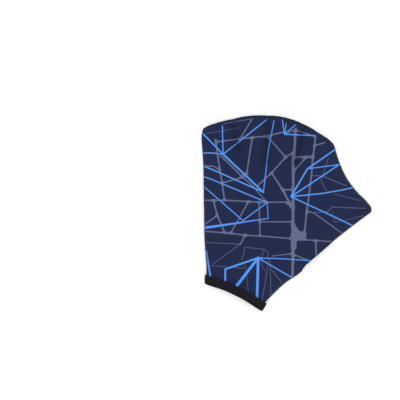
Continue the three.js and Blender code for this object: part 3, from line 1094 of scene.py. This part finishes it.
@dataclass
class WristTape:
    """The tape folded over the wrist edge of both panels."""

    form: GloveForm
    columns: np.ndarray
    rib_relief: float = 0.07
    rib_length: float = 2.1
    edge_round: float = 0.6
    flare: float = 0.7
    leg_rows: int = 26
    fold_rows: int = 9

    def loop(self, inset: float, inwards: float, upper: Face, lower: Face, stand_off: float) -> np.ndarray:
        """A closed loop round the wrist.

        Args:
            inset: Share of the wrist by which the loop's ends are brought in.
            inwards: Distance up the glove from its cut edge.
            upper: Face that the loop follows over the back.
            lower: Face that the loop follows under the palm.
            stand_off: Distance outside those faces.

        Returns:
            The loop's points in millimetres.
        """
        form = self.form
        across = inset + (1 - 2 * inset) * self.columns
        zero = np.zeros_like(across)
        edge = form.plan(across, zero)
        direction = form.plan(across, zero + form.tape_row) - edge
        reach = np.linalg.norm(direction, axis=1)
        layers = form.layers(across, form.tape_row * max(inwards, 0.0) / reach)
        plan = edge + direction / reach[:, None] * inwards + form.shift
        top = np.column_stack([plan, layers.heights[upper]])
        bottom = np.column_stack([plan, layers.heights[lower]])[::-1]
        loop = np.vstack([top, (top[-1] + bottom[0]) / 2, bottom, (bottom[-1] + top[0]) / 2])
        flat = np.column_stack([loop[:, :2] @ form.wrist_direction, loop[:, 2]])
        before = flat - np.roll(flat, 1, axis=0)
        after = np.roll(flat, -1, axis=0) - flat
        before /= np.linalg.norm(before, axis=1)[:, None]
        after /= np.linalg.norm(after, axis=1)[:, None]
        tangent = before + after
        tangent /= np.linalg.norm(tangent, axis=1)[:, None]
        reach = stand_off / np.maximum((tangent * after).sum(1), 0.5)
        loop[:, :2] += form.wrist_direction * (-tangent[:, 1] * reach)[:, None]
        loop[:, 2] += tangent[:, 0] * reach
        return loop

    def outside(self, inwards: float, stand_off: float) -> np.ndarray:
        """Loop outside the panels, a little wider at the glove's two sides."""
        form = self.form
        loop = self.loop(0, inwards, Face.BACK_OUTER, Face.PALM_OUTER, stand_off)
        run = loop[:, :2] @ form.wrist_direction
        middle, half = (run.max() + run.min()) / 2, (run.max() - run.min()) / 2
        ends = np.clip((np.abs(run - middle) / half - 0.9) / 0.1, 0, 1) ** 2
        loop[:, :2] += form.wrist_direction * (np.sign(run - middle) * ends * self.flare)[:, None]
        return loop

    def inside(self, inwards: float, stand_off: float) -> np.ndarray:
        """Loop inside the mouth."""
        return self.loop(self.form.tape_inset, inwards, Face.BACK_INNER, Face.PALM_INNER, -stand_off)

    def build(self, finish: bpy.types.Material) -> bpy.types.Object:
        """Make and dress the tape.

        Args:
            finish: The tape's material.

        Returns:
            The tape.
        """
        form = self.form
        near, far = form.tape_clearance, form.tape_clearance + form.tape_thickness
        sections, across = [], []
        for inwards in np.linspace(form.tape_width, 0, self.leg_rows):
            rib = self.rib_relief * math.cos(2 * math.pi * inwards / self.rib_length)
            lost = float(rounded_drop(np.array((form.tape_width - inwards) / self.edge_round)))
            sections.append(self.outside(inwards, far + rib - lost * (form.tape_thickness - 0.1)))
            across.append(inwards)
        for turn in np.linspace(0, math.pi, self.fold_rows + 2)[1:-1]:
            share = (1 - math.cos(turn)) / 2
            depth = -far * math.sin(turn)
            outer, inner = self.outside(depth, far), self.inside(depth, far)
            sections.append(outer * (1 - share) + inner * share)
            across.append(depth)
        for inwards in np.linspace(0, form.tape_inner_width, self.leg_rows // 3):
            sections.append(self.inside(inwards, far))
            across.append(inwards)
        for loop, inwards in (
            (self.inside(form.tape_inner_width, near), form.tape_inner_width),
            (self.inside(-near, near), -near),
            (self.outside(-near, near), -near),
            (self.outside(form.tape_width / 2, near), form.tape_width / 2),
            (self.outside(form.tape_width, near), form.tape_width),
        ):
            sections.append(loop)
            across.append(inwards)
        count, turns = len(sections[0]), len(sections)
        here = np.arange(count)
        after = np.roll(here, -1)
        quads = [
            np.column_stack([k * count + here, n * count + here, n * count + after, k * count + after])
            for k, n in ((k, (k + 1) % turns) for k in range(turns))
        ]
        vertices = np.vstack(sections)
        vertices[:, 2] = np.maximum(vertices[:, 2], 0.0)
        piece = make_object("wrist_tape", vertices, np.vstack(quads))
        add_measure(piece, "across", np.repeat(across, count))
        dress(piece, [finish])
        return piece


@dataclass
class Sewing:
    """Runs of thread on the glove, each joined into one mesh."""

    form: GloveForm
    thickness: float = 0.34
    sides: int = 6
    points: int = 6

    def tubes(self, name: str, paths: np.ndarray, finish: bpy.types.Material) -> bpy.types.Object:
        """Make one mesh of short thread pieces.

        Args:
            name: The piece's name.
            paths: Points of each thread piece, shaped pieces by points by three.
            finish: The thread's material.

        Returns:
            The mesh object.
        """
        pieces, points = paths.shape[:2]
        tangent = np.gradient(paths, axis=1)
        tangent /= np.maximum(np.linalg.norm(tangent, axis=2, keepdims=True), 1e-9)
        up = np.broadcast_to(np.array([0.31, 0.23, 0.92]), tangent.shape)
        side = np.cross(tangent, up)
        side /= np.maximum(np.linalg.norm(side, axis=2, keepdims=True), 1e-9)
        lift = np.cross(side, tangent)
        radius = np.full(points, self.thickness / 2)
        radius[[0, -1]] *= 0.55
        turn = np.arange(self.sides) * 2 * math.pi / self.sides
        ring = side[:, :, None] * np.cos(turn)[:, None] + lift[:, :, None] * np.sin(turn)[:, None]
        rings = paths[:, :, None] + ring * radius[:, None, None]
        vertices = rings.reshape(-1, 3)
        faces: list[list[int]] = []
        here = np.arange(self.sides)
        after = np.roll(here, -1)
        for piece in range(pieces):
            base = piece * points * self.sides
            for row in range(points - 1):
                low, high = base + row * self.sides, base + (row + 1) * self.sides
                faces += np.column_stack([low + here, low + after, high + after, high + here]).tolist()
            faces.append((base + here)[::-1].tolist())
            faces.append((base + (points - 1) * self.sides + here).tolist())
        made = make_object(name, vertices, faces)
        dress(made, [finish])
        return made

    def dashes(self, base: np.ndarray, raised: np.ndarray, pitch: float, fill: float = 0.78) -> np.ndarray:
        """Stitches along a line.

        Args:
            base: The line on the surface.
            raised: The same line one millimetre off the surface.
            pitch: Length of one stitch and its gap.
            fill: Share of the pitch that the thread takes.

        Returns:
            Paths of the stitches, each dipping into the surface at both ends.
        """
        walked = np.concatenate([[0], np.cumsum(np.linalg.norm(np.diff(base, axis=0), axis=1))])
        count = max(int(walked[-1] / pitch), 1)
        starts = np.arange(count) * walked[-1] / count
        shares = np.linspace(0, 1, self.points)
        places = starts[:, None] + shares[None] * pitch * fill
        lift = (np.sin(math.pi * shares) * 0.8 - 0.25) * self.thickness
        on = np.stack([np.interp(places, walked, base[:, k]) for k in range(3)], axis=2)
        off = np.stack([np.interp(places, walked, raised[:, k]) for k in range(3)], axis=2)
        return on + (off - on) * lift[None, :, None]

    def along_rib(self, rib: int, face: Face, sign: float) -> np.ndarray:
        """Stitches of one finger line on one face."""
        v = np.linspace(self.form.stitch_starts[rib], 0.995, 120)
        u = np.full(len(v), rib / self.form.strips)
        line = self.form.surface(u, v, face)
        return self.dashes(line, line + np.array([0, 0, sign]), 2.7)

    def tack(self, rib: int, v: float, crossings: int = 7, half_width: float = 1.3) -> np.ndarray:
        """Bar tack of close crossings over one finger line."""
        form = self.form
        centre = rib / form.strips
        near = form.plan(np.array([centre - 0.01, centre + 0.01]), np.array([v, v]))
        reach = half_width * 0.02 / np.linalg.norm(near[1] - near[0])
        shares = np.linspace(-1, 1, self.points)
        rows = v + (np.arange(crossings) - crossings / 2) * 0.0042
        u = centre + shares[None] * reach + np.zeros((crossings, 1))
        vs = rows[:, None] + shares[None] * 0.0012
        paths = form.surface(u, np.minimum(vs, 1.0), Face.BACK_OUTER).reshape(crossings, self.points, 3)
        paths[:, :, 2] += (np.cos(math.pi * shares / 2) * 0.9 - 0.2) * self.thickness
        return paths

    def fingers(self, finish: bpy.types.Material) -> bpy.types.Object:
        """Thread of the lines between the fingers, with a bar tack at both ends of each."""
        runs = []
        for rib, start in self.form.stitch_starts.items():
            runs.append(self.along_rib(rib, Face.BACK_OUTER, 1.0))
            runs.append(self.along_rib(rib, Face.PALM_OUTER, -0.4))
            runs.append(self.tack(rib, start))
            runs.append(self.tack(rib, 0.975))
        return self.tubes("finger_stitching", np.vstack(runs), finish)

    def edge_run(self, u: float, start: float, end: float, pitch: float = 3.1, bite: float = 1.7) -> np.ndarray:
        """Overhand stitches round a sewn edge, from the back panel to the palm panel."""
        form = self.form
        v = np.linspace(start, end, 400)
        edge = form.plan(np.full(len(v), u), v)
        walked = np.concatenate([[0], np.cumsum(np.linalg.norm(np.diff(edge, axis=0), axis=1))])
        stops = np.arange(pitch / 2, walked[-1], pitch)
        v = np.interp(stops, walked, v)
        at_edge = form.plan(np.full(len(v), u), v)
        tangent = form.plan(np.full(len(v), u), np.minimum(v + 0.003, 1)) - form.plan(
            np.full(len(v), u), np.maximum(v - 0.003, 0)
        )
        tangent /= np.linalg.norm(tangent, axis=1)[:, None]
        inward = np.column_stack([tangent[:, 1], -tangent[:, 0]]) * (1.0 if u < 0.5 else -1.0)
        depth = np.array([bite, bite * 0.5, 0.1, -0.22, 0.1, bite * 0.5, bite])
        share = np.clip(depth / (bite * 2), 0, None)
        probe = form.plan(np.full(len(v), abs(u - 0.01)), v)
        width = np.linalg.norm(probe - at_edge, axis=1)
        steps = np.maximum(depth, 0)[None] * 0.01 / width[:, None]
        us = np.clip(u + (steps if u < 0.5 else -steps), 0, 1)
        layers = form.layers(us, np.repeat(v[:, None], len(depth), 1))
        top = layers.heights[Face.BACK_OUTER].reshape(us.shape)
        low = layers.heights[Face.PALM_OUTER].reshape(us.shape)
        height = np.concatenate([top[:, :3], (top[:, 3:4] + low[:, 3:4]) / 2, low[:, 4:]], axis=1)
        lift = np.array([-0.1, 0.12, 0.1, 0, -0.1, -0.12, 0.1])
        plan = at_edge[:, None] + inward[:, None] * depth[None, :, None]
        slant = np.linspace(-0.35, 0.35, len(depth))
        plan = plan + tangent[:, None] * slant[None, :, None] + form.shift
        return np.concatenate([plan, (height + lift)[:, :, None]], axis=2)

    def edges(self, finish: bpy.types.Material) -> bpy.types.Object:
        """Thread of the three sewn edges."""
        form = self.form
        runs = [
            self.edge_run(0.0, 0.075, 0.985),
            self.edge_run(1.0, form.thumb_mouth_end + 0.005, 0.99),
            self.edge_run(1.0, 0.075, form.thumb_mouth_start - 0.005),
        ]
        return self.tubes("edge_stitching", np.vstack(runs), finish)

    def tape(self, tape: WristTape, finish: bpy.types.Material) -> bpy.types.Object:
        """Two rows of thread round the wrist tape."""
        form = self.form
        far = form.tape_clearance + form.tape_thickness
        runs = []
        for inwards in (form.tape_width - 1.5, form.tape_width - 4.6):
            base, raised = tape.outside(inwards, far), tape.outside(inwards, far + 1)
            runs.append(self.dashes(np.vstack([base, base[:1]]), np.vstack([raised, raised[:1]]), 2.5))
        paths = np.vstack(runs)
        paths[:, :, 2] = np.maximum(paths[:, :, 2], self.thickness / 2)
        return self.tubes("tape_stitching", paths, finish)


@dataclass
class Studio:
    """Pale floor, soft light and the camera straight above the glove."""

    form: GloveForm
    camera_height: float = 1.25
    picture_width: float = 400.0
    glove_centre_right: float = 286.65
    glove_centre_down: float = 213.3
    sensor: float = 36.0
    floor_size: float = 3.0
    sky: float = 1.4
    lamp_power: float = 3.0

    def floor(self) -> bpy.types.Object:
        """Plain pale floor under the glove."""
        half = self.floor_size / 2 / MM
        corners = np.array([(-half, -half, 0), (half, -half, 0), (half, half, 0), (-half, half, 0)], float)
        floor = make_object("studio_floor", corners, [[0, 1, 2, 3]])
        material = bpy.data.materials.new("pale_floor")
        material.use_nodes = True
        shader = material.node_tree.nodes["Principled BSDF"]
        shader.inputs["Base Color"].default_value = (0.94, 0.94, 0.945, 1)
        shader.inputs["Roughness"].default_value = 0.9
        shader.inputs["Specular IOR Level"].default_value = 0.1
        floor.data.materials.append(material)
        return floor

    def light(self) -> None:
        """Even white surroundings and one broad soft lamp."""
        world = bpy.data.worlds.new("soft_white")
        world.use_nodes = True
        background = world.node_tree.nodes["Background"]
        background.inputs["Color"].default_value = (1, 1, 1, 1)
        background.inputs["Strength"].default_value = self.sky
        bpy.context.scene.world = world
        lamp = bpy.data.lights.new("soft_lamp", "AREA")
        lamp.energy, lamp.size = self.lamp_power, 1.6
        holder = bpy.data.objects.new("soft_lamp", lamp)
        holder.location = (-0.2, 0.2, 1.5)
        bpy.context.scene.collection.objects.link(holder)

    def camera(self) -> None:
        """Camera that looks straight down, with the glove where the picture has it."""
        unit = self.form.width / 169.9 * MM
        middle = self.picture_width / 2
        right = (middle - self.glove_centre_right) * unit
        up = (self.glove_centre_down - middle) * unit
        camera = bpy.data.cameras.new("camera")
        camera.sensor_width = self.sensor
        camera.lens = self.sensor * (self.camera_height - 0.006) / (self.picture_width * unit)
        holder = bpy.data.objects.new("camera", camera)
        holder.location = (right, up, self.camera_height)
        bpy.context.scene.collection.objects.link(holder)
        bpy.context.scene.camera = holder
        bpy.context.scene.view_settings.view_transform = "Standard"

    def build(self) -> bpy.types.Object:
        """Set up the light and the camera, and give back the floor."""
        self.light()
        self.camera()
        return self.floor()


def main() -> None:
    """Build the glove, its thread and the studio."""
    logging.basicConfig(level=logging.INFO, format="%(name)s: %(message)s")
    form = GloveForm()
    wardrobe = Wardrobe(Effects(), form)
    back = Panel("printed_back", form, Face.BACK_OUTER, Face.BACK_INNER)
    palm = Panel("plain_palm", form, Face.PALM_INNER, Face.PALM_OUTER)
    tape = WristTape(form, back.columns())
    sewing = Sewing(form)
    back_piece = back.build([wardrobe.printed, wardrobe.lining, wardrobe.foam], Slot.PRINTED)
    palm_piece = palm.build([wardrobe.lining, wardrobe.plain, wardrobe.foam], Slot.PLAIN)
    tape_piece = tape.build(wardrobe.tape)
    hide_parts("back_panel")
    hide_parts("palm_panel")
    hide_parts("wrist_binding")
    trim = [
        tape_piece,
        sewing.fingers(wardrobe.navy_thread),
        sewing.edges(wardrobe.navy_thread),
        sewing.tape(tape, wardrobe.black_thread),
    ]
    floor = Studio(form).build()
    for piece in [back_piece, palm_piece, *trim]:
        log.info("%s: %d faces", piece.name, len(piece.data.polygons))


if __name__ == "__main__":
    main()
